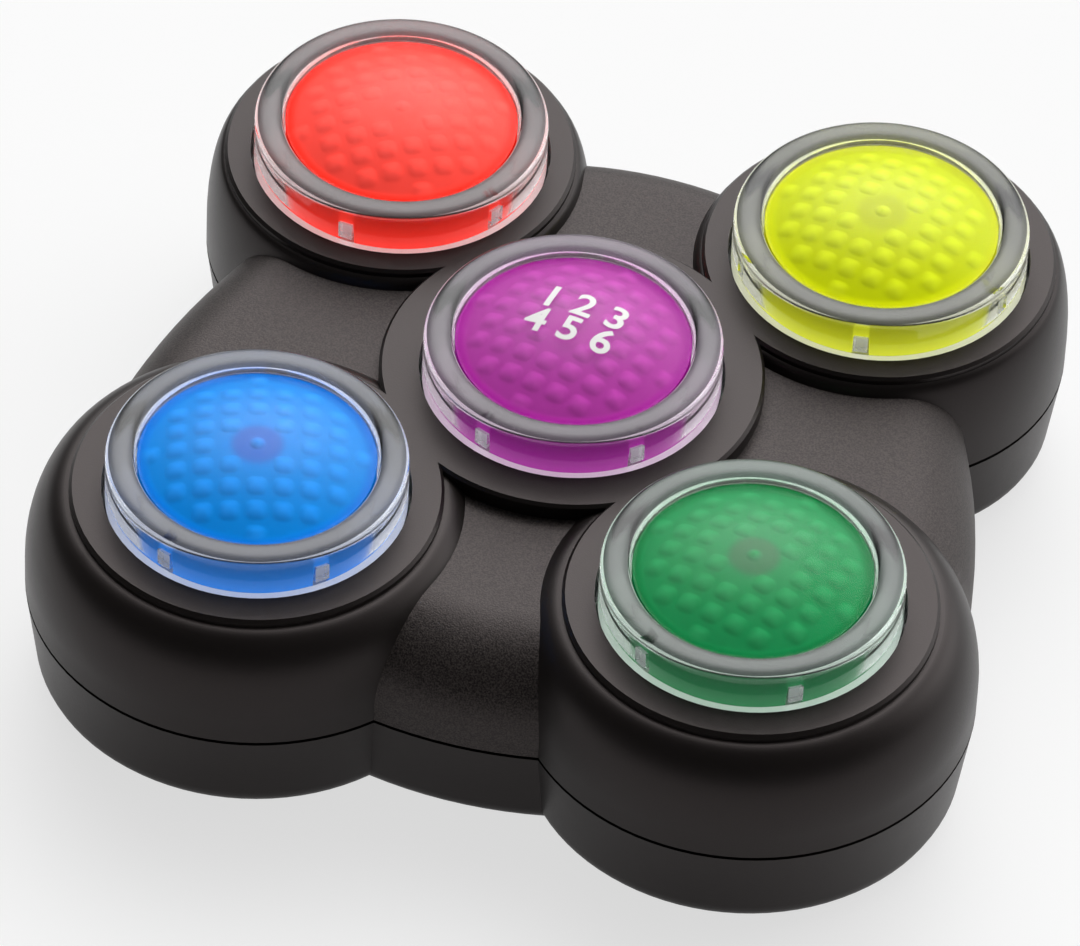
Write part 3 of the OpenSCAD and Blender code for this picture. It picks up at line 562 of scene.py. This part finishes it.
def welded_copy(node, name, materials):
    """Copy of a CAD node whose corners are welded, so that curved faces shade as one surface."""
    mesh = cad[node].data.copy()
    mesh.name = name
    if "custom_normal" in mesh.attributes:
        mesh.attributes.remove(mesh.attributes["custom_normal"])
    welder = bmesh.new()
    welder.from_mesh(mesh)
    bmesh.ops.remove_doubles(welder, verts=welder.verts, dist=WELD)
    welder.to_mesh(mesh)
    welder.free()
    mesh.materials.clear()
    for material in materials:
        mesh.materials.append(material)
    mesh.polygons.foreach_set("use_smooth", np.ones(len(mesh.polygons), bool))
    mesh.polygons.foreach_set("material_index", np.zeros(len(mesh.polygons), np.int32))
    piece = placed(name, mesh)
    crease(piece, CASE_CREASE)
    weighted = piece.modifiers.new("even_shading", "WEIGHTED_NORMAL")
    weighted.keep_sharp = True
    return piece


def face_values(mesh, what):
    """Rows of three numbers, one row for every face, such as its center or normal."""
    values = np.zeros(len(mesh.polygons) * 3)
    mesh.polygons.foreach_get(what, values)
    return values.reshape(-1, 3)


def centre_of(node):
    """Middle of a node's box."""
    low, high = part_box(node)
    return (low + high) / 2


def on_lobe(points, at, colour):
    """True for points on or inside a button's lobe, whose shoulder is a quarter of an ellipse from the
    wall up to the collar. The boss of the middle button is straight."""
    rise = np.clip((points[:, 2] - LOBE_LOW) / (LOBE_HIGH - LOBE_LOW), 0, 1)
    if colour == "purple":
        wall = collar = BOSS_R
    elif at[1] < 0:
        wall, collar = FRONT_LOBE_R, FRONT_COLLAR_R
    else:
        wall, collar = REAR_LOBE_R, REAR_COLLAR_R
    limit = collar + (wall - collar) * np.sqrt(1 - rise**2) + LOBE_SLACK
    return np.hypot(points[:, 0] - at[0], points[:, 1] - at[1]) < limit


def make_case():
    """Both halves of the case. The panels between the lobes are grainier than the lobes: a face
    belongs to a panel where it lies farther from every button than that button's own lobe. The flat
    collars round the buttons are matte."""
    top = welded_copy("upper_case", "case_top", [satin_black, grained_black, matte_black])
    base = welded_copy("lower_case", "case_base", [satin_black])
    middles = face_values(top.data, "center")
    collar = (face_values(top.data, "normal")[:, 2] > COLLAR_FLAT) & (middles[:, 2] > COLLAR_Z)
    panel = ~collar
    for colour in BUTTONS:
        panel &= ~on_lobe(middles, centre_of("ring_" + colour), colour)
    finish = CASE_PANEL * panel + CASE_COLLAR * collar
    top.data.polygons.foreach_set("material_index", finish.astype(np.int32))
    for piece, node in ((top, "upper_case"), (base, "lower_case")):
        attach(piece, "case")
        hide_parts(node)


# Buttons


def make_ring(colour, turn, border):
    """Clear ring: a thick wall, hollow from below, with a thin skirt and a flange under the case and a
    rim whose profile is half of a superellipse, turned about the button's axis. Its bore steps in at
    the five keys. The flat of the rim is frosted, and the tops and ends of the keys and the roof of
    the hollow are matte and carry a painted glow, a faint emission that stands in for light; the roof
    is also painted pale, and shows through the wall as bright crescents, a painted reflection."""
    low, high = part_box("ring_" + colour)
    at = (low + high) / 2
    half = KEY_W / 2 / RING_BORE
    angle = key_angles(turn, half)
    key = near_key(angle, turn, half)
    f = RING_FILLET
    flange = RING_R + RING_FLANGE
    flange_top = low.z + RING_FLANGE
    skirt = RING_R - SKIRT_T
    hollow = low.z + HOLLOW_H
    sweep = np.radians(np.linspace(0, 180, RIM_STEPS))
    c, s = np.cos(sweep), np.sin(sweep).clip(0)
    q = 2 / RIM_POWER
    rim_half = (RING_R - RING_BORE) / 2
    rim_r = RING_R - rim_half + rim_half * np.sign(c) * np.abs(c)**q
    rim_z = high.z - RIM_H + RIM_H * s**q
    outer = np.concatenate([
        arc(RING_BORE + f, hollow + f, f, 180, 270, FILLET_STEPS),
        arc(skirt - f, hollow - f, f, 90, 0, FILLET_STEPS),
        arc(skirt + f, low.z + f, f, 180, 270, FILLET_STEPS),
        arc(flange - f, low.z + f, f, -90, 0, FILLET_STEPS),
        arc(flange - f, flange_top - f, f, 0, 90, FILLET_STEPS),
        arc(RING_R + f, flange_top + f, f, 270, 180, FILLET_STEPS),
        np.stack([rim_r, rim_z], -1),
    ])
    key_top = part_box("lens_" + colour)[1].z - LENS_CROWN - KEY_DROP
    key_low = hollow + KEY_RISE
    inner_z = np.array([key_top + KEY_SLOPE, key_top, key_low, key_low - KEY_SLOPE])
    inner_r = RING_BORE - np.array([0, 1, 1, 0])[:, None] * key * LENS_WALL
    radius = np.concatenate([outer[:, :1] + 0 * angle, inner_r])
    height = np.concatenate([outer[:, 1], inner_z])[:, None] + 0 * angle
    points = turned(radius, height, angle, at)
    faces = strip_faces(len(radius), len(angle), True)
    # Painted light: the roof is painted pale and glows faintly, and shows through the wall as bright
    # crescents
    pale = tinted_white(ROOF_PAINTED_WHITE, border)
    roof = clear_moulding("ring_roof_painted_light_" + colour, pale, roughness=0.4, ior=ACRYLIC_IOR, clear=0.5)
    give_painted_glow(roof, pale, ROOF_PAINTED_GLOW)
    materials = [clear_acrylic, frosted_acrylic, key_acrylic_painted_glow, roof]
    ring = piece_from("clear_ring_" + colour, points, faces, materials)
    finish = np.zeros(radius.shape, np.int32)
    finish[FILLET_STEPS - 1] = RING_ROOF
    finish[len(outer) - RIM_STEPS + RIM_EDGE:len(outer) - RIM_EDGE] = RING_FROSTED
    on_key = (key > 0.5) & (np.roll(key, -1) > 0.5)
    finish[len(outer):len(outer) + 2] = RING_KEY * on_key
    ring.data.polygons.foreach_set("material_index", finish.ravel())
    crease(ring, RING_CREASE)
    return ring


def dome_height(r, drop):
    """Height of the lens's spherical cap above its edge, lowered by drop along the axis."""
    ball = (LENS_R**2 + LENS_CROWN**2) / (2 * LENS_CROWN)
    return LENS_CROWN - ball + np.sqrt(ball**2 - r**2) - drop


def make_face(colour, tint):
    """Smooth clear face of a lens: a spherical cap, a small round edge and the same cap below."""
    low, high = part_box("lens_" + colour)
    at = (low + high) / 2
    edge_z = high.z - LENS_CROWN
    angle = np.linspace(0, 2 * np.pi, ROUND_STEPS, endpoint=False)
    edge_r = FACE_T / 2
    r = np.linspace(0, LENS_R - edge_r, FACE_STEPS)[1:]
    middle_z = edge_z + dome_height(r[-1], edge_r)
    profile = np.concatenate([
        np.stack([r, edge_z + dome_height(r, 0)], -1),
        arc(LENS_R - edge_r, middle_z, edge_r, FACE_EDGE_TURN, -FACE_EDGE_TURN, FACE_EDGE_STEPS),
        np.stack([r[::-1], edge_z + dome_height(r[::-1], FACE_T)], -1),
    ])
    radius = profile[:, :1] + 0 * angle
    height = profile[:, 1:] + 0 * angle
    poles = (high.z, high.z - FACE_T)
    clear = clear_moulding("lens_clear_" + colour, tint, roughness=0.12, ior=FACE_IOR, clear=1.0)
    face = capped("lens_face_" + colour, radius, height, angle, at, poles, [clear])
    crease(face, FACE_CREASE)
    face.visible_shadow = False
    return face


def bumps(x, y, turn):
    """Height of the grid of bumps: every cell of a square lattice holds a pillow with a rounded square
    outline, which falls off with the square of the distance from its middle. None lies near the middle
    of the lens, which carries a small nib, nor near the edge."""
    c, s = math.cos(math.radians(turn)), math.sin(math.radians(turn))
    u = (x * c + y * s) / BUMP_PITCH + 0.5
    v = (-x * s + y * c) / BUMP_PITCH + 0.5
    mid_u, mid_v = np.floor(u) + 0.5, np.floor(v) + 0.5
    sides = np.abs(u - mid_u)**BUMP_SQUARE + np.abs(v - mid_v)**BUMP_SQUARE
    away = sides ** (1 / BUMP_SQUARE) / BUMP_SHARE
    rise = np.clip(1 - away**2, 0, 1)
    home = np.hypot(mid_u - 0.5, mid_v - 0.5) * BUMP_PITCH
    there = (home > BUMP_INNER_R) & (home < BUMP_OUTER_R - BUMP_PITCH / 2)
    r = np.hypot(x, y)
    nib = NIB_H * np.clip(1 - r / NIB_R, 0, 1)**NIB_POWER
    return BUMP_H * rise * there * smooth_step(-r, -LENS_R, -BORDER_R) + nib


def make_grid(colour, turn, grid_turn, material):
    """Coloured body of a lens: a bumped cap with a raised lip on a round wall, which is cut away from
    below at the five keys. Each row of its wall has one place away from the keys and one at a key."""
    low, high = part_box("lens_" + colour)
    at = (low + high) / 2
    edge_z = high.z - LENS_CROWN
    half = (KEY_W / 2 + KEY_GAP) / RING_BORE
    angle = key_angles(turn, half)
    key = near_key(angle, turn, half)
    out = LENS_R - BODY_GAP
    r = np.linspace(0, out - BODY_CORNER, BODY_STEPS)[1:]
    cap_r = r[:, None] + 0 * angle
    x, y = cap_r * np.cos(angle), cap_r * np.sin(angle)
    relief = bumps(x, y, grid_turn)
    lip = LIP_H * smooth_step(cap_r, LIP_R, LENS_R)
    cap_z = edge_z + dome_height(cap_r, GRID_DROP) + lip + relief
    notch_z = edge_z - KEY_DROP + KEY_GAP
    inside = LENS_R - LENS_WALL
    top_z = edge_z - GRID_DROP + LIP_H - BODY_CORNER
    wall = np.array([
        (out, top_z, out, top_z),
        (out, low.z, out, notch_z),
        (inside, low.z, inside, notch_z),
    ])
    wall_r = wall[:, :1] + key * (wall[:, 2:3] - wall[:, :1])
    wall_z = wall[:, 1:2] + key * (wall[:, 3:] - wall[:, 1:2])
    under_r = r[::-1][::BODY_UNDER_STEP]
    under_r = under_r[under_r < inside]
    under_z = edge_z + dome_height(under_r, GRID_DROP + CAP_T)
    radius = np.concatenate([cap_r, wall_r, under_r[:, None] + 0 * angle])
    height = np.concatenate([cap_z, wall_z, under_z[:, None] + 0 * angle])
    poles = (high.z - GRID_DROP + NIB_H, high.z - GRID_DROP - CAP_T)
    body = capped("lens_grid_" + colour, radius, height, angle, at, poles, [material])
    crease(body, BODY_CREASE)
    away = np.where(np.arange(len(radius)) < len(r), radius[:, 0], LENS_R)
    zone = FACE_ZONE * smooth_step(away, DISC_FADE[0] * DISC_R, DISC_FADE[1] * DISC_R)
    zone += (BORDER_ZONE - FACE_ZONE) * smooth_step(away, BORDER_R, LENS_R)
    zone[len(r):len(r) + len(wall)] = WALL_ZONES
    # Painted highlight: 1 on the tops of the bumps and on the nib, which makes the colour lighter there
    painted_highlight = np.zeros(radius.shape)
    painted_highlight[:len(r)] = np.clip(relief / BUMP_H, 0, 1) * ((cap_r > DISC_R) | (cap_r < NIB_R))
    paint(body, "zone", np.append(zone.repeat(len(angle)), [0, 0]))
    paint(body, "painted_highlight", np.append(painted_highlight, [1, 0]))
    return body


def paint(piece, field, values):
    """Gives every point of a piece a value of a named attribute."""
    attribute = piece.data.attributes.new(field, "FLOAT", "POINT")
    attribute.data.foreach_set("value", values.astype(np.float32))


def numeral_sheet():
    """Points and faces of the numbers as a flat sheet, with edges short enough to bend."""
    curve = bpy.data.curves.new("numerals", "FONT")
    curve.body = NUMERALS
    curve.align_x = "CENTER"
    curve.size = NUMERAL_SIZE
    curve.space_line = NUMERAL_LINE
    curve.offset = NUMERAL_BOLD
    curve.resolution_u = NUMERAL_STEPS
    writing = placed("numerals", curve)
    evaluated = writing.evaluated_get(bpy.context.evaluated_depsgraph_get())
    mesh = bpy.data.meshes.new_from_object(evaluated)
    bpy.data.objects.remove(writing)
    bpy.data.curves.remove(curve)
    shaper = bmesh.new()
    shaper.from_mesh(mesh)
    bmesh.ops.triangulate(shaper, faces=shaper.faces)
    bmesh.ops.subdivide_edges(shaper, edges=shaper.edges, cuts=NUMERAL_CUTS, use_grid_fill=True)
    shaper.to_mesh(mesh)
    shaper.free()
    flat = np.zeros(len(mesh.vertices) * 3)
    mesh.vertices.foreach_get("co", flat)
    faces = [list(face.vertices) for face in mesh.polygons]
    bpy.data.meshes.remove(mesh)
    return flat.reshape(-1, 3), faces


def layer_faces(sheet, count):
    """Faces of a closed layer: a sheet of faces on count points, the same sheet count points later, and
    a wall along every edge that only one face of the sheet has."""
    edges = [edge for face in sheet for edge in zip(face, face[1:] + face[:1])]
    known = set(edges)
    walls = [[a, b, b + count, a + count] for a, b in edges if (b, a) not in known]
    upper = [[corner + count for corner in face] for face in sheet]
    return [face[::-1] for face in sheet] + upper + walls


def make_numerals(colour, turn):
    """Two rows of plain numbers printed on a lens: a thin closed layer wrapped onto its dome."""
    low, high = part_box("lens_" + colour)
    at = (low + high) / 2
    flat, sheet = numeral_sheet()
    u, v = flat[:, 0], flat[:, 1] + NUMERAL_RAISE
    c, s = math.cos(math.radians(turn)), math.sin(math.radians(turn))
    x, y = u * c - v * s, u * s + v * c
    z = high.z - LENS_CROWN + dome_height(np.hypot(x, y), -PRINT_GAP)
    lower = np.stack([x + at.x, y + at.y, z], -1)
    points = np.concatenate([lower, lower + (0, 0, PRINT_T)])
    faces = layer_faces(sheet, len(lower))
    numerals = piece_from("middle_numerals", points, faces, [finishes["plunger_white"]])
    crease(numerals, NUMERAL_CREASE)
    numerals.visible_shadow = False
    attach(numerals, "button_" + colour)


def make_buttons():
    """Ring and lens of every button, and the numbers on the middle one."""
    for colour, (middle, main, border, turn, grid_turn) in BUTTONS.items():
        # Painted light: the foot colour is a lighter copy of the border colour
        foot = np.minimum(np.array(border) * FOOT_PAINTED_LIGHT_GAIN + FOOT_PAINTED_LIGHT_LIFT, 1)
        plastic = lens_plastic("lens_body_" + colour, (middle, main, border, foot))
        ring = make_ring(colour, turn, border)
        face = make_face(colour, tinted_white(FACE_WHITE, main))
        body = make_grid(colour, turn, grid_turn, plastic)
        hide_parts("ring_" + colour)
        for part in (face, body):
            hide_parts("lens_" + colour)
        for part in (ring, face, body):
            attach(part, "button_" + colour)
    make_numerals("purple", NUMERAL_TURN)


def make_domes():
    """Silicone domes under the buttons, copies of the CAD domes that ride on the case."""
    for colour in BUTTONS:
        node = "rubber_dome_" + colour
        dome = placed("soft_dome_" + colour, cad[node].data.copy())
        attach(dome, "case")
        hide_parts(node)
        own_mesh(dome)


# Stage, light and camera


def make_floor():
    """Pale floor, shown a step whiter than it is lit to straight and mirrored looks, and clear from
    below."""
    h = FLOOR_HALF
    mesh = bpy.data.meshes.new("floor")
    mesh.from_pydata([(-h, -h, 0), (h, -h, 0), (h, h, 0), (-h, h, 0)], [], [(0, 1, 2, 3)])
    floor = placed("floor", mesh)
    material, shader = shader_of("pale_floor")
    shader.inputs["Base Color"].default_value = (*FLOOR_PALE, 1)
    shader.inputs["Roughness"].default_value = FLOOR_ROUGH
    shader.inputs["Specular IOR Level"].default_value = 0.0
    look = add_node(material, "ShaderNodeLightPath").outputs
    mirrored = math_node(material, "MULTIPLY", look["Is Glossy Ray"], FLOOR_MIRRORED)
    share = math_node(material, "MULTIPLY_ADD", look["Is Camera Ray"], FLOOR_WHITE, mirrored)
    white = add_node(material, "ShaderNodeEmission")
    lit = add_node(material, "ShaderNodeMixShader")
    join(material, share, lit.inputs["Fac"])
    join(material, shader.outputs[0], lit.inputs[1])
    join(material, white.outputs[0], lit.inputs[2])
    below = add_node(material, "ShaderNodeNewGeometry")
    nothing = add_node(material, "ShaderNodeBsdfTransparent")
    open_below = add_node(material, "ShaderNodeMixShader")
    join(material, below.outputs["Backfacing"], open_below.inputs["Fac"])
    join(material, lit.outputs[0], open_below.inputs[1])
    join(material, nothing.outputs[0], open_below.inputs[2])
    surface = material.node_tree.nodes["Material Output"].inputs["Surface"]
    join(material, open_below.outputs[0], surface)
    mesh.materials.append(material)


def make_world():
    """Soft light all round and from two sides at the back: the level of each side rises with a power of
    how far a direction turns towards it."""
    world = bpy.data.worlds.new("studio")
    scene.world = world
    world.use_nodes = True
    where = add_node(world, "ShaderNodeTexCoord")
    level = LIGHT_ROUND
    for side, power, strength in LIGHTS:
        toward = add_node(world, "ShaderNodeVectorMath")
        toward.operation = "DOT_PRODUCT"
        toward.inputs[1].default_value = side.normalized()
        join(world, where.outputs["Generated"], toward.inputs[0])
        facing = math_node(world, "MULTIPLY_ADD", toward.outputs["Value"], 0.5, 0.5)
        lobe = math_node(world, "POWER", facing, power)
        level = math_node(world, "MULTIPLY_ADD", lobe, strength, level)
    background = world.node_tree.nodes["Background"]
    join(world, level, background.inputs["Strength"])
    background.inputs["Color"].default_value = (1, 1, 1, 1)


def make_camera():
    """Camera turned about its target by azimuth, elevation and roll."""
    ca, sa = math.cos(CAMERA_AZIMUTH), math.sin(CAMERA_AZIMUTH)
    ce, se = math.cos(CAMERA_ELEVATION), math.sin(CAMERA_ELEVATION)
    back = Vector((ce * sa, -ce * ca, se))
    right = Vector((ca, sa, 0))
    up = back.cross(right)
    c, s = math.cos(CAMERA_ROLL), math.sin(CAMERA_ROLL)
    right, up = c * right + s * up, c * up - s * right
    eye = CAMERA_TARGET + CAMERA_DISTANCE * back
    lens = bpy.data.cameras.new("camera")
    lens.lens = CAMERA_LENS
    lens.sensor_width = CAMERA_SENSOR
    lens.sensor_fit = "HORIZONTAL"
    lens.clip_start = CAMERA_NEAR
    camera = placed("camera", lens)
    camera.matrix_world = Matrix((
        (right.x, up.x, back.x, eye.x),
        (right.y, up.y, back.y, eye.y),
        (right.z, up.z, back.z, eye.z),
        (0, 0, 0, 1),
    ))
    scene.camera = camera


dress_nodes()
make_case()
make_buttons()
make_domes()
make_floor()
make_world()
make_camera()
scene.view_settings.view_transform = "Standard"
